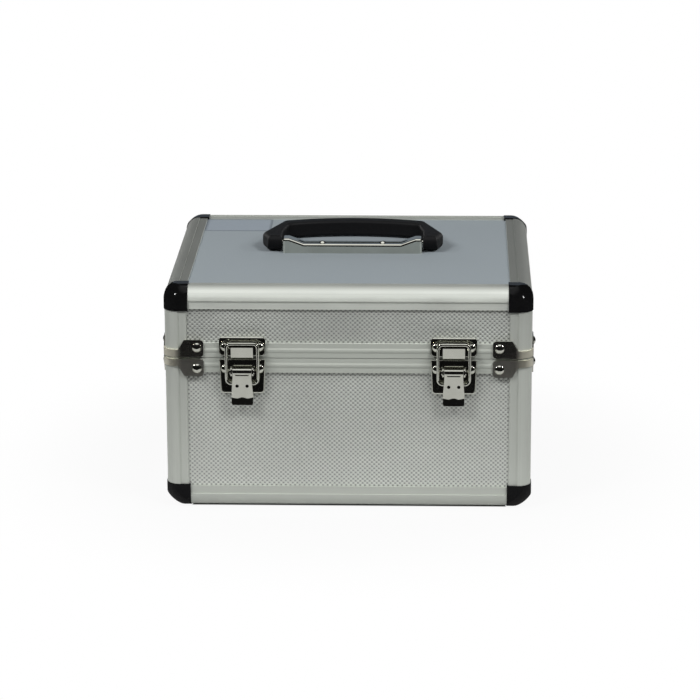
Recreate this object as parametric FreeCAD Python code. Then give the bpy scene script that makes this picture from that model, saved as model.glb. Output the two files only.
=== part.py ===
"""Small aluminium-framed carry case: hinged lid, two draw latches and a folding carry handle.

Millimetres. +X is right, +Y is the back, +Z is up. The origin is the middle of the footprint,
on the surface that the case stands on. Sheet, wire and extrusion sizes come first, the pieces
follow in the order in which the case is put together.
"""
import FreeCAD
import Part
import math
import os

Vector = FreeCAD.Vector

# Case
case_width = 250.0
case_depth = 218.0
case_height = 156.1
base_height = 106.8
parting_gap = 0.4
seat_gap = 0.05
round_share = 0.95
same_place = 0.001

# Edge extrusions: quarter-round bars with a flat lip and a panel slot on each side
edge_round = 9.0
edge_shoulder = 0.6
edge_face = 15.2
lip_step = 0.6
lip_wall = 1.0
inner_wall = 1.1
inner_lip_end = 13.0
slot_floor = 8.0
screw_port_radius = 1.9
screw_port_inset = 4.6

# Panels
panel_thickness = 4.0
panel_slack = 0.1
panel_end_gap = 0.2

# Rim extrusions along the parting line
rim_face = 10.2
rim_slot_floor = 4.6
rim_band_start = 3.2
rim_band_width = 3.6
rim_band_slope = 1.2
rim_band_rise = 0.35
rim_band_round = 2.2
tongue_height = 2.0
tongue_width = 1.4
tongue_setback = 3.0
tongue_clearance = 0.35

# Corner caps
cap_side = 16.4
cap_proud = 0.5
cap_ball_radius = 19.9

# Corner clips at the parting line
clip_sheet = 1.0
clip_start = 0.6
clip_band_height = 5.0
clip_plate_height = 12.0
clip_plate_start = 13.6
clip_plate_end = 26.8
clip_taper = 4.0
clip_corner_radius = 2.4
clip_rivet_from_corner = 22.3
clip_rivet_from_parting = 7.2

# Rivets
rivet_shank_radius = 1.5
rivet_hole_clearance = 0.05
rivet_tail_radius = 2.3
rivet_tail_height = 0.7
clip_rivet_head_radius = 3.2
clip_rivet_head_height = 1.6
latch_rivet_head_radius = 3.0
latch_rivet_head_height = 1.7
handle_rivet_head_radius = 2.5
handle_rivet_head_height = 1.2

# Draw latches
latch_inset = 53.2
latch_width = 31.5
latch_sheet = 1.2
latch_foot_width = 29.6
latch_corner_radius = 2.4
latch_top_radius = 1.0
latch_edge_radius = 1.0
latch_bend_radius = 0.8
latch_rivet_spacing = 23.4
latch_clearance = 0.3
catch_bottom = 2.0
catch_top = 15.5
catch_lip = 3.3
catch_lip_turn = 1.3
catch_lip_radius = 1.2
catch_rivet_height = 8.3
catch_pad_top = 12.6
catch_pad_inset = 0.3
catch_pad_step = 0.6
catch_pad_radius = 4.6
catch_pad_edge_radius = 0.5
hook_width = 15.0
hook_throat = 1.2
hook_lean = 1.5
hook_tip_height = 8.8
hook_floor_height = 0.4
latch_plate_top = 0.4
latch_plate_bottom = 24.8
latch_plate_rivet_drop = 7.3
ear_thickness = 1.1
ear_lobe_radius = 2.7
ear_foot_half = 4.5
lever_width = 12.8
lever_pin_radius = 1.25
lever_pin_drop = 8.2
lever_pin_standoff = 5.2
lever_pin_head_radius = 1.9
lever_pin_head_height = 0.5
lever_barrel_radius = 2.8
lever_window_top = 8.9
lever_window_bottom = 10.5
lever_window_half_top = 5.2
lever_window_half_bottom = 4.3
lever_bend_drop = 24.9
lever_bend_standoff = 5.5
lever_bend_radius = 0.8
lever_edge_drop = 26.4
lever_edge_standoff = 4.6
lever_foot_width = 15.0
lever_scallop_place = 3.3
lever_scallop_depth = 0.9
lever_scallop_radius = 2.0
lever_scallop_gap = 0.8
tab_sheet = 1.0
tab_width = 14.6
tab_corner_radius = 1.2
tab_top_drop = 22.6
tab_top_standoff = 4.9
tab_bend_drop = 26.6
tab_bend_standoff = 4.0
tab_bend_radius = 1.6
tab_tip_drop = 31.8
tab_tip_standoff = 5.4
lever_hole_radius = 1.15
lever_hole_spacing = 6.8
lever_hole_drop = 18.0
lever_flange_top = 12.5
lever_flange_bottom = 21.6
lever_flange_standoff = 2.4
lever_flange_radius = 2.0
bail_wire_radius = 1.0
bail_half_width = 10.7
bail_pivot_drop = 16.9
bail_pivot_standoff = 4.4
bail_bar_height = 11.8
bail_bend_radius = 3.2
bail_foot_bend_radius = 3.4
bail_bar_clearance = 0.45
pivot_clearance = 0.05

# Hinges on the back
hinge_inset = 50.0
hinge_width = 36.0
hinge_sheet = 1.2
hinge_leaf_height = 15.5
hinge_corner_radius = 3.0
hinge_pin_radius = 1.4
hinge_knuckle_radius = 2.8
hinge_knuckle_gap = 0.3
hinge_back_gap = 0.3
hinge_pin_head_radius = 2.2
hinge_pin_head_height = 0.8
hinge_centre_knuckle = 12.0
hinge_rivet_spacing = 22.0
hinge_rivet_from_parting = 8.0

# Carry handle on the lid
bracket_length = 98.6
bracket_width = 12.0
bracket_sheet = 1.2
bracket_middle_height = 6.6
bracket_end_height = 10.4
bracket_end_top = 4.6
bracket_slope_run = 10.4
bracket_bend_radius = 1.6
bracket_edge_radius = 1.8
bracket_rivet_spacing = 42.6
bracket_offset = -1.0
handle_pin_radius = 1.8
handle_pin_head_radius = 2.3
handle_pin_head_height = 1.0
handle_pin_reach = 8.0
handle_pin_end_gap = 0.2
handle_pivot_height = 6.5
grip_thickness = 11.0
grip_side_gap = 0.5
grip_cheek_width = 9.6
grip_swell = 4.9
grip_widest_reach = 9.0
grip_shoulder_inset = 8.4
grip_shoulder_reach = 45.0
grip_reach = 54.0
grip_bar_width = 12.0
grip_cheek_reach = 15.5
grip_inner_inset = 3.8
grip_inner_reach = 34.0
grip_bend_radius = 6.0
grip_outer_edge_radius = 3.4
grip_inner_edge_radius = 2.0
grip_front_reach = 4.8
grip_under_radius = 7.0
grip_over_radius = 3.6

# Lining boards
liner_thickness = 1.2
liner_gap = 1.4
liner_rim_drop = 1.0

# Places worked out from the sizes above
panel_outer = lip_step + lip_wall
panel_inner = panel_outer + panel_thickness
slot_inner = panel_inner + panel_slack
frame_inner = slot_inner + inner_wall
panel_edge = slot_floor + panel_end_gap
rim_panel_edge = rim_slot_floor + panel_end_gap
rivet_grip_depth = frame_inner
catch_face = latch_sheet + catch_pad_step
hook_outer = catch_face + hook_throat + latch_sheet
bail_bar_standoff = hook_outer + hook_lean + bail_bar_clearance + bail_wire_radius
lever_front = lever_pin_standoff + lever_barrel_radius
hinge_axis_standoff = hinge_knuckle_radius + hinge_back_gap
front_reach = max(bail_bar_standoff + bail_wire_radius, lever_front)
back_reach = hinge_axis_standoff + hinge_knuckle_radius
depth_shift = (front_reach - back_reach) / 2
left = -case_width / 2
right = case_width / 2
front = depth_shift - case_depth / 2
back = depth_shift + case_depth / 2
bottom = cap_proud
top = bottom + case_height
parting = bottom + base_height
base_rim = parting - parting_gap / 2
lid_rim = parting + parting_gap / 2
lid_surface = top - panel_outer
handle_axis_y = depth_shift + bracket_offset
handle_axis_z = lid_surface + handle_pivot_height
hinge_axis_y = back + hinge_axis_standoff


class Plane:
    """A drawing plane: an origin and two directions, u and v."""

    def __init__(self, origin, u_direction, v_direction):
        self.origin = Vector(*origin)
        self.u_direction = Vector(*u_direction)
        self.v_direction = Vector(*v_direction)

    def at(self, u, v):
        return self.origin + self.u_direction * u + self.v_direction * v


def rounded_wire(plane, corners):
    """Closed outline through (u, v, radius) corners, with an arc wherever the radius isn't nought."""
    count = len(corners)
    turns = []
    for index, (u, v, radius) in enumerate(corners):
        here = Vector(u, v, 0)
        before = Vector(*corners[index - 1][:2], 0) - here
        after = Vector(*corners[(index + 1) % count][:2], 0) - here
        before.normalize()
        after.normalize()
        if radius == 0:
            turns.append((here, None, here))
            continue
        half_angle = before.getAngle(after) / 2
        reach = radius / math.tan(half_angle)
        middle = before + after
        middle.normalize()
        sagitta = radius / math.sin(half_angle) - radius
        turns.append((here + before * reach, here + middle * sagitta, here + after * reach))
    edges = []
    for index, (start, middle, end) in enumerate(turns):
        start_3d = plane.at(start.x, start.y)
        end_3d = plane.at(end.x, end.y)
        if middle is not None:
            edges.append(Part.Arc(start_3d, plane.at(middle.x, middle.y), end_3d).toShape())
        follower = turns[(index + 1) % count][0]
        next_3d = plane.at(follower.x, follower.y)
        if end_3d.distanceToPoint(next_3d) > same_place:
            edges.append(Part.LineSegment(end_3d, next_3d).toShape())
    return Part.Wire(edges)


def prism(plane, corners, run):
    """Solid of a rounded outline carried along the vector run."""
    return Part.Face(rounded_wire(plane, corners)).extrude(Vector(*run))


def round_rim(solid, radius, normal):
    """Rounds the edges round a solid's furthest flat face in a direction."""
    direction = Vector(*normal)
    reach = max(vertex.Point.dot(direction) for vertex in solid.Vertexes)
    rim = [
        edge for edge in solid.Edges
        if all(reach - vertex.Point.dot(direction) < same_place for vertex in edge.Vertexes)
    ]
    return solid.makeFillet(radius, rim)


def offset_path(path, thickness):
    """Path of (u, v, bend radius) points, set thickness to the left with its bends about the same centres."""
    points = [Vector(u, v, 0) for u, v, _ in path]
    directions = [(b - a).normalize() for a, b in zip(points, points[1:])]
    normals = [Vector(-d.y, d.x, 0) for d in directions]
    far_side = [points[0] + normals[0] * thickness]
    far_radius = [0]
    for index in range(1, len(points) - 1):
        before = directions[index - 1]
        after = directions[index]
        turn = before.x * after.y - before.y * after.x
        blend = normals[index - 1] + normals[index]
        blend.normalize()
        stretch = thickness / blend.dot(normals[index])
        far_side.append(points[index] + blend * stretch)
        bend = path[index][2]
        far_radius.append(max(bend - thickness, 0) if turn > 0 else bend + thickness)
    far_side.append(points[-1] + normals[-1] * thickness)
    far_radius.append(0)
    return [(point.x, point.y, radius) for point, radius in zip(far_side, far_radius)]


def bent_sheet(path, thickness):
    """Outline of a sheet whose right-hand face follows path and whose other face lies to its left."""
    return list(path) + offset_path(path, thickness)[::-1]


def block(low, high):
    """Box between two corners."""
    size = Vector(*high) - Vector(*low)
    return Part.makeBox(size.x, size.y, size.z, Vector(*low))


def rod(radius, start, end):
    """Round bar between two points."""
    axis = Vector(*end) - Vector(*start)
    return Part.makeCylinder(radius, axis.Length, Vector(*start), axis)


def turned(outline, position, direction):
    """Solid of revolution of (radius, height) corners, set at position with its axis on direction."""
    plane = Plane((0, 0, 0), (1, 0, 0), (0, 0, 1))
    solid = Part.Face(rounded_wire(plane, outline)).revolve(Vector(0, 0, 0), Vector(0, 0, 1), 360)
    turn = FreeCAD.Rotation(Vector(0, 0, 1), Vector(*direction))
    solid.Placement = FreeCAD.Placement(Vector(*position), turn)
    return solid


def rivet(position, direction, head_radius, head_height, grip):
    """Dome-headed rivet; its head sits at position and its tail clamps grip millimetres behind it."""
    plane = Plane((0, 0, 0), (1, 0, 0), (0, 0, 1))
    dome_radius = (head_radius**2 + head_height**2) / (2 * head_height)
    half_angle = math.asin(head_radius / dome_radius) / 2
    dome_middle_u = dome_radius * math.sin(half_angle)
    dome_middle_v = head_height - dome_radius * (1 - math.cos(half_angle))
    tail_end = -grip - rivet_tail_height
    corners = [
        (head_radius, 0),
        (rivet_shank_radius, 0),
        (rivet_shank_radius, -grip),
        (rivet_tail_radius, -grip),
        (rivet_tail_radius, tail_end),
        (0, tail_end),
        (0, head_height),
    ]
    points = [plane.at(u, v) for u, v in corners]
    edges = [Part.LineSegment(a, b).toShape() for a, b in zip(points, points[1:])]
    dome_middle = plane.at(dome_middle_u, dome_middle_v)
    edges.append(Part.Arc(points[-1], dome_middle, points[0]).toShape())
    solid = Part.Face(Part.Wire(edges)).revolve(Vector(0, 0, 0), Vector(0, 0, 1), 360)
    turn = FreeCAD.Rotation(Vector(0, 0, 1), Vector(*direction))
    solid.Placement = FreeCAD.Placement(Vector(*position), turn)
    return solid


def rivet_hole(position, direction, depth):
    """Drill for a rivet's shank, from just outside position to depth behind it."""
    radius = rivet_shank_radius + rivet_hole_clearance
    inward = Vector(*direction) * -1
    start = Vector(*position) - inward * depth
    return Part.makeCylinder(radius, 2 * depth, start, inward)


def mirrored(shape, across):
    """Copy of a shape across the case's middle plane, 'x' or 'y', or across the parting plane, 'z'."""
    normals = {"x": Vector(1, 0, 0), "y": Vector(0, 1, 0), "z": Vector(0, 0, 1)}
    return shape.mirror(Vector(0, depth_shift, parting), normals[across])


def four_corners(shape):
    """A shape and its copies at the other three corners of the plan."""
    pair = [shape, mirrored(shape, "x")]
    return pair + [mirrored(each, "y") for each in pair]


pieces = {}


def keep(name, solids):
    """Note the solid, or the group of separate solids, of one piece."""
    pieces[name] = list(solids) if isinstance(solids, (list, tuple)) else [solids]


def drill(name, holes):
    """Cut every hole that reaches a piece."""
    drilled = []
    for solid in pieces[name]:
        near = [hole for hole in holes if solid.BoundBox.intersect(hole.BoundBox)]
        drilled.append(solid.cut(near) if near else solid)
    pieces[name] = drilled


# Edge extrusions


def edge_extrusion(corner, inward_a, inward_b, run):
    """Quarter-round bar along run; u and v are depths from its two outer faces."""
    plane = Plane(corner, inward_a, inward_b)
    shoulder = edge_round + edge_shoulder
    one_side = [
        (lip_step, edge_face),
        (lip_step, shoulder),
        (0, shoulder),
        (0, edge_round),
    ]
    slot_side = [
        (edge_face, panel_outer),
        (slot_floor, panel_outer),
        (slot_floor, slot_inner),
        (inner_lip_end, slot_inner),
        (inner_lip_end, frame_inner),
        (slot_floor, frame_inner),
        (slot_floor, slot_floor),
    ]
    corners = one_side + [(v, u) for u, v in reversed(one_side)] + slot_side
    corners += [(v, u) for u, v in reversed(slot_side[:-1])]
    points = [plane.at(u, v) for u, v in corners]
    arc_start = len(one_side) - 1
    edges = []
    for index, start in enumerate(points):
        end = points[(index + 1) % len(points)]
        if index == arc_start:
            inset = edge_round * (1 - math.sqrt(0.5))
            edges.append(Part.Arc(start, plane.at(inset, inset), end).toShape())
        else:
            edges.append(Part.LineSegment(start, end).toShape())
    along = Vector(*run)
    port = Part.makeCylinder(
        screw_port_radius, along.Length, plane.at(screw_port_inset, screw_port_inset), along
    )
    return Part.Face(Part.Wire(edges)).extrude(along).cut(port)


def add_edges(prefix, level, upward):
    """The four bars round the bottom or the top of the case."""
    inward = (0, 0, upward)
    across = case_width - 2 * cap_side
    along = case_depth - 2 * cap_side
    start_x = left + cap_side
    start_y = front + cap_side
    front_bar = edge_extrusion((start_x, front, level), (0, 1, 0), inward, (across, 0, 0))
    left_bar = edge_extrusion((left, start_y, level), (1, 0, 0), inward, (0, along, 0))
    keep(f"{prefix}_front_edge", front_bar)
    keep(f"{prefix}_back_edge", mirrored(front_bar, "y"))
    keep(f"{prefix}_left_edge", left_bar)
    keep(f"{prefix}_right_edge", mirrored(left_bar, "x"))


def corner_posts(low, high):
    """Four upright bars, one at each corner of the plan."""
    post = edge_extrusion((left, front, low), (1, 0, 0), (0, 1, 0), (0, 0, high - low))
    return four_corners(post)


# Rim extrusions


def rim_extrusion(corner, inward, away, run, has_tongue):
    """Bar along one side of the parting line; u is the depth from outside and v runs off the parting."""
    plane = Plane(corner, inward, away)
    band_end = rim_band_start + rim_band_width
    outside = [
        (rim_band_rise, 0, 0),
        (rim_band_rise, rim_band_start, 0),
        (0, rim_band_start + rim_band_slope, rim_band_round),
        (0, band_end - rim_band_slope, rim_band_round),
        (rim_band_rise, band_end, 0),
        (rim_band_rise, rim_face, 0),
    ]
    slot = [
        (panel_outer, rim_face),
        (panel_outer, rim_slot_floor),
        (slot_inner, rim_slot_floor),
        (slot_inner, rim_face),
    ]
    inside = [(frame_inner, rim_face), (frame_inner, 0)]
    slack = 0 if has_tongue else tongue_clearance
    height = -tongue_height if has_tongue else tongue_height
    far = tongue_setback + tongue_width + slack
    near = tongue_setback - slack
    key = [(far, 0), (far, height), (near, height), (near, 0)]
    corners = outside + [(u, v, 0) for u, v in slot + inside + key]
    return prism(plane, corners, run)


def add_rims(prefix, level, away, has_tongue):
    """The four rim bars of the base or of the lid, between the corner posts."""
    upward = (0, 0, away)
    across = case_width - 2 * edge_face
    along = case_depth - 2 * edge_face
    start_x = left + edge_face
    start_y = front + edge_face
    front_bar = rim_extrusion((start_x, front, level), (0, 1, 0), upward, (across, 0, 0), has_tongue)
    left_bar = rim_extrusion((left, start_y, level), (1, 0, 0), upward, (0, along, 0), has_tongue)
    keep(f"{prefix}_front_rim", front_bar)
    keep(f"{prefix}_back_rim", mirrored(front_bar, "y"))
    keep(f"{prefix}_left_rim", left_bar)
    keep(f"{prefix}_right_rim", mirrored(left_bar, "x"))


# Panels


def add_walls(prefix, low, high):
    """The four wall panels of the base or of the lid, between two heights."""
    front_wall = block(
        (left + panel_edge, front + panel_outer, low), (right - panel_edge, front + panel_inner, high)
    )
    left_wall = block(
        (left + panel_outer, front + panel_edge, low), (left + panel_inner, back - panel_edge, high)
    )
    keep(f"{prefix}_front_panel", front_wall)
    keep(f"{prefix}_back_panel", mirrored(front_wall, "y"))
    keep(f"{prefix}_left_panel", left_wall)
    keep(f"{prefix}_right_panel", mirrored(left_wall, "x"))


def flat_panel(low, high):
    """Bottom or top panel between two heights."""
    return block((left + panel_edge, front + panel_edge, low), (right - panel_edge, back - panel_edge, high))


# Corner caps


def corner_cap():
    """Ball-cornered cap at the left front bottom corner, slotted for the three panels that meet in it."""
    corner = Vector(left - cap_proud, front - cap_proud, bottom - cap_proud)
    side = cap_side + cap_proud
    cap = Part.makeBox(side, side, side, corner)
    outer_edges = [
        edge for edge in cap.Edges
        if any(vertex.Point.distanceToPoint(corner) < same_place for vertex in edge.Vertexes)
    ]
    cap = cap.makeFillet(edge_round + cap_proud, outer_edges)
    origin = Vector(left, front, bottom)
    cap = cap.common(Part.makeSphere(cap_ball_radius, origin + Vector(1, 1, 1) * cap_side))
    far = Vector(1, 1, 1) * (2 * cap_side)
    inside = [block(origin + Vector(1, 1, 1) * frame_inner, origin + far)]
    for axis in range(3):
        low = [slot_floor] * 3
        high = list(far)
        low[axis] = panel_outer
        high[axis] = slot_inner
        inside.append(block(origin + Vector(*low), origin + Vector(*high)))
    return cap.cut(inside)


# Corner clips


def corner_clip():
    """Sheet clip round the left front corner of the lid's rim: two plates joined by a slim band."""
    plane = Plane((left, front, lid_rim + clip_start), (1, 0, 0), (0, 1, 0))
    face = -seat_gap
    path = [(clip_plate_end, face, 0), (face, face, edge_round + seat_gap), (face, clip_plate_end, 0)]
    clip = prism(plane, bent_sheet(path, clip_sheet), (0, 0, clip_plate_height))
    far = 2 * clip_plate_height
    slope_start = clip_plate_start - clip_taper
    window = [
        (-far, clip_band_height, 0),
        (slope_start, clip_band_height, 0),
        (clip_plate_start, clip_plate_height, 0),
        (clip_plate_start, far, 0),
        (-far, far, 0),
    ]
    reach = slope_start + far
    above_front = Plane((left, front - far, lid_rim + clip_start), (1, 0, 0), (0, 0, 1))
    above_side = Plane((left - far, front, lid_rim + clip_start), (0, 1, 0), (0, 0, 1))
    clip = clip.cut([prism(above_front, window, (0, reach, 0)), prism(above_side, window, (reach, 0, 0))])
    ends = []
    for edge in clip.Edges:
        middle = edge.CenterOfMass
        past_end = max(middle.x - left, middle.y - front) - clip_plate_end
        is_level = edge.BoundBox.ZLength < same_place
        if is_level and abs(past_end) < same_place:
            ends.append(edge)
    return clip.makeFillet(clip_corner_radius, ends)


def clip_rivet_places():
    """Head position and outward direction of the two rivets of the left front clip of the lid."""
    height = lid_rim + clip_rivet_from_parting
    offset = seat_gap + clip_sheet
    on_front = ((left + clip_rivet_from_corner, front - offset, height), (0, -1, 0))
    on_side = ((left - offset, front + clip_rivet_from_corner, height), (-1, 0, 0))
    return [on_front, on_side]


# Draw latches. Standoffs are measured out from the front face, drops down from the parting plane.


def latch_plane(centre):
    """Side view of a latch: u runs out of the case's front face and v up from the parting plane."""
    return Plane((centre, front, parting), (0, -1, 0), (0, 0, 1))


def across_x(plane, corners, width, offset=0):
    """Solid of a side-view outline, width wide, centred offset from the latch's middle."""
    shifted = Plane(plane.origin + Vector(offset - width / 2, 0, 0), plane.u_direction, plane.v_direction)
    return prism(shifted, corners, (width, 0, 0))


def front_cutter(centre, half_outline, depth):
    """Front-view outline with two like halves, as a block that runs depth out of the front face."""
    plane = Plane((centre, front, parting), (1, 0, 0), (0, 0, 1))
    corners = half_outline + [(-u, v, radius) for u, v, radius in reversed(half_outline)]
    return prism(plane, corners, (0, -depth, 0))


def catch_plate(centre):
    """Keeper on the lid: a plate with an outturned top lip and an upturned hook folded from its foot."""
    plane = latch_plane(centre)
    plate_path = [
        (catch_lip, catch_top - catch_lip_turn, 0),
        (catch_lip, catch_top, catch_lip_radius),
        (0, catch_top, latch_bend_radius + latch_sheet),
        (0, catch_bottom, 0),
    ]
    plate = across_x(plane, bent_sheet(plate_path, latch_sheet), latch_width)
    half_outline = [
        (latch_width / 2, catch_bottom, latch_corner_radius),
        (latch_width / 2, catch_top, latch_corner_radius),
    ]
    plate = plate.common(front_cutter(centre, half_outline, 2 * catch_lip))
    pad_half = latch_width / 2 - catch_pad_inset
    pad_outline = [(pad_half, catch_bottom, latch_corner_radius), (pad_half, catch_pad_top, catch_pad_radius)]
    pad = round_rim(front_cutter(centre, pad_outline, catch_face), catch_pad_edge_radius, (0, -1, 0))
    floor = hook_floor_height
    bend = hook_outer / 2 * round_share
    hook_path = [
        (0, catch_bottom + latch_sheet, 0),
        (0, floor, bend),
        (hook_outer, floor, bend),
        (hook_outer + hook_lean, hook_tip_height, 0),
    ]
    hook = across_x(plane, bent_sheet(hook_path, latch_sheet), hook_width)
    return plate.fuse([pad, hook]).removeSplitter()


def latch_plate(centre):
    """Base plate of a latch, with two ears that carry the lever's pin."""
    half_outline = [
        (latch_foot_width / 2, -latch_plate_bottom, latch_corner_radius),
        (latch_width / 2, -latch_plate_top, latch_top_radius),
    ]
    plate = round_rim(front_cutter(centre, half_outline, latch_sheet), latch_edge_radius, (0, -1, 0))
    plane = latch_plane(centre)
    tip = lever_pin_standoff + ear_lobe_radius
    foot_top = -lever_pin_drop + ear_foot_half
    foot_bottom = -lever_pin_drop - ear_foot_half
    lobe_top = -lever_pin_drop + ear_lobe_radius
    lobe_bottom = -lever_pin_drop - ear_lobe_radius
    lobe = ear_lobe_radius * round_share
    outline = [
        (latch_sheet / 2, foot_top, 0),
        (latch_sheet / 2, foot_bottom, 0),
        (tip, lobe_bottom, lobe),
        (tip, lobe_top, lobe),
    ]
    offset = lever_width / 2 + latch_clearance + ear_thickness / 2
    ears = [across_x(plane, outline, ear_thickness, side * offset) for side in (-1, 1)]
    plate = plate.fuse(ears).removeSplitter()
    return plate.cut(lever_pin_bore(centre, latch_width))


def lever_pin_bore(centre, length):
    """Running hole for the lever's pin."""
    y = front - lever_pin_standoff
    z = parting - lever_pin_drop
    radius = lever_pin_radius + pivot_clearance
    return rod(radius, (centre - length / 2, y, z), (centre + length / 2, y, z))


def lever_pin(centre):
    """Pin from ear to ear, peened at both ends."""
    half = lever_width / 2 + latch_clearance + ear_thickness
    end = half + lever_pin_head_height
    outline = [
        (0, -end, 0),
        (lever_pin_head_radius, -end, 0),
        (lever_pin_head_radius, -half, 0),
        (lever_pin_radius, -half, 0),
        (lever_pin_radius, half, 0),
        (lever_pin_head_radius, half, 0),
        (lever_pin_head_radius, end, 0),
        (0, end, 0),
    ]
    return turned(outline, (centre, front - lever_pin_standoff, parting - lever_pin_drop), (1, 0, 0))


def lever_face(drop):
    """Standoff of the lever's leaning face at a drop between the pin and the bend of the finger tab."""
    share = (drop - lever_pin_drop) / (lever_bend_drop - lever_pin_drop)
    return lever_front + share * (lever_bend_standoff - lever_front)


def lever(centre):
    """Pressed lever: a barrel on the pin, a leaning face with a scalloped edge, a tab and two flanges."""
    plane = latch_plane(centre)
    face_path = [
        (lever_edge_standoff, -lever_edge_drop - 2 * lever_scallop_depth, 0),
        (lever_bend_standoff, -lever_bend_drop, lever_bend_radius),
        (lever_front, -lever_pin_drop, 0),
    ]
    half_outline = [
        (lever_scallop_gap, -lever_edge_drop, lever_scallop_gap),
        (lever_scallop_place, -lever_edge_drop - lever_scallop_depth, lever_scallop_radius),
        (lever_foot_width / 2, -lever_edge_drop, 0),
        (lever_width / 2, -lever_flange_top, 0),
        (lever_width / 2, -lever_pin_drop, 0),
    ]
    face = across_x(plane, bent_sheet(face_path, latch_sheet), lever_foot_width)
    face = face.common(front_cutter(centre, half_outline, 2 * lever_front))
    window = [
        (lever_window_half_bottom, -lever_window_bottom, 0),
        (lever_window_half_top, -lever_window_top, 0),
    ]
    face = face.cut(front_cutter(centre, window, 2 * lever_front))
    tab_path = [
        (tab_tip_standoff, -tab_tip_drop, 0),
        (tab_bend_standoff, -tab_bend_drop, tab_bend_radius),
        (tab_top_standoff, -tab_top_drop, 0),
    ]
    tab_outline = [(tab_width / 2, -tab_tip_drop, tab_corner_radius), (tab_width / 2, 0, 0)]
    tab = across_x(plane, bent_sheet(tab_path, tab_sheet), tab_width)
    tab = tab.common(front_cutter(centre, tab_outline, 2 * lever_front))
    hole_height = parting - lever_hole_drop
    past_face = front - 2 * lever_front
    for hole_x in (centre - lever_hole_spacing / 2, centre + lever_hole_spacing / 2):
        hole = rod(lever_hole_radius, (hole_x, front, hole_height), (hole_x, past_face, hole_height))
        face = face.cut(hole)
    half_sheet = latch_sheet / 2
    flange_outline = [
        (lever_flange_standoff, -lever_flange_top, lever_flange_radius),
        (lever_flange_standoff, -lever_flange_bottom, lever_flange_radius),
        (lever_face(lever_flange_bottom) - half_sheet, -lever_flange_bottom, 0),
        (lever_face(lever_flange_top) - half_sheet, -lever_flange_top, 0),
    ]
    offset = lever_width / 2 - ear_thickness / 2
    flanges = [across_x(plane, flange_outline, ear_thickness, side * offset) for side in (-1, 1)]
    pin_y = front - lever_pin_standoff
    pin_z = parting - lever_pin_drop
    half = lever_width / 2
    barrel = rod(lever_barrel_radius, (centre - half, pin_y, pin_z), (centre + half, pin_y, pin_z))
    body = face.fuse(flanges + [barrel, tab]).removeSplitter()
    y = front - bail_pivot_standoff
    z = parting - bail_pivot_drop
    bail_bore = rod(
        bail_wire_radius + pivot_clearance, (centre - lever_width, y, z), (centre + lever_width, y, z)
    )
    return body.cut([lever_pin_bore(centre, 2 * lever_width), bail_bore])


def bail(centre):
    """Wire loop: two legs with inturned ends in the lever's flanges, joined by the bar at the hook."""
    low = Vector(0, front - bail_pivot_standoff, parting - bail_pivot_drop)
    high = Vector(0, front - bail_bar_standoff, parting + bail_bar_height)
    upward = (high - low).normalize()
    height = high.distanceToPoint(low)
    plane = Plane((centre, low.y, low.z), (1, 0, 0), upward)
    inner_end = lever_width / 2 - ear_thickness - latch_clearance
    half = bail_half_width
    bend = bail_bend_radius
    foot_bend = bail_foot_bend_radius
    arc_inset = 1 - math.sqrt(0.5)
    edges = []
    for side in (-1, 1):
        foot = plane.at(side * inner_end, 0)
        foot_out = plane.at(side * (half - foot_bend), 0)
        turn_middle = plane.at(side * (half - foot_bend * arc_inset), foot_bend * arc_inset)
        leg_low = plane.at(side * half, foot_bend)
        leg_high = plane.at(side * half, height - bend)
        top_middle = plane.at(side * (half - bend * arc_inset), height - bend * arc_inset)
        bar_end = plane.at(side * (half - bend), height)
        run = [
            Part.LineSegment(foot, foot_out).toShape(),
            Part.Arc(foot_out, turn_middle, leg_low).toShape(),
            Part.LineSegment(leg_low, leg_high).toShape(),
            Part.Arc(leg_high, top_middle, bar_end).toShape(),
        ]
        edges += run if side < 0 else list(reversed(run))
        if side < 0:
            edges.append(Part.LineSegment(bar_end, plane.at(half - bend, height)).toShape())
    path = Part.Wire(edges)
    start = plane.at(-inner_end, 0)
    section = Part.Wire([Part.makeCircle(bail_wire_radius, start, Vector(1, 0, 0))])
    return path.makePipeShell([section], True, False)


def latch_rivet_places(centre, height, standoff):
    """Head positions of a latch plate's two rivets."""
    y = front - standoff
    offsets = (-latch_rivet_spacing / 2, latch_rivet_spacing / 2)
    return [((centre + offset, y, parting + height), (0, -1, 0)) for offset in offsets]


# Hinges


def hinge_barrel(radius, start, end):
    """Round bar on the hinge axis between two places across the case."""
    return rod(radius, (start, hinge_axis_y, parting), (end, hinge_axis_y, parting))


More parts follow.
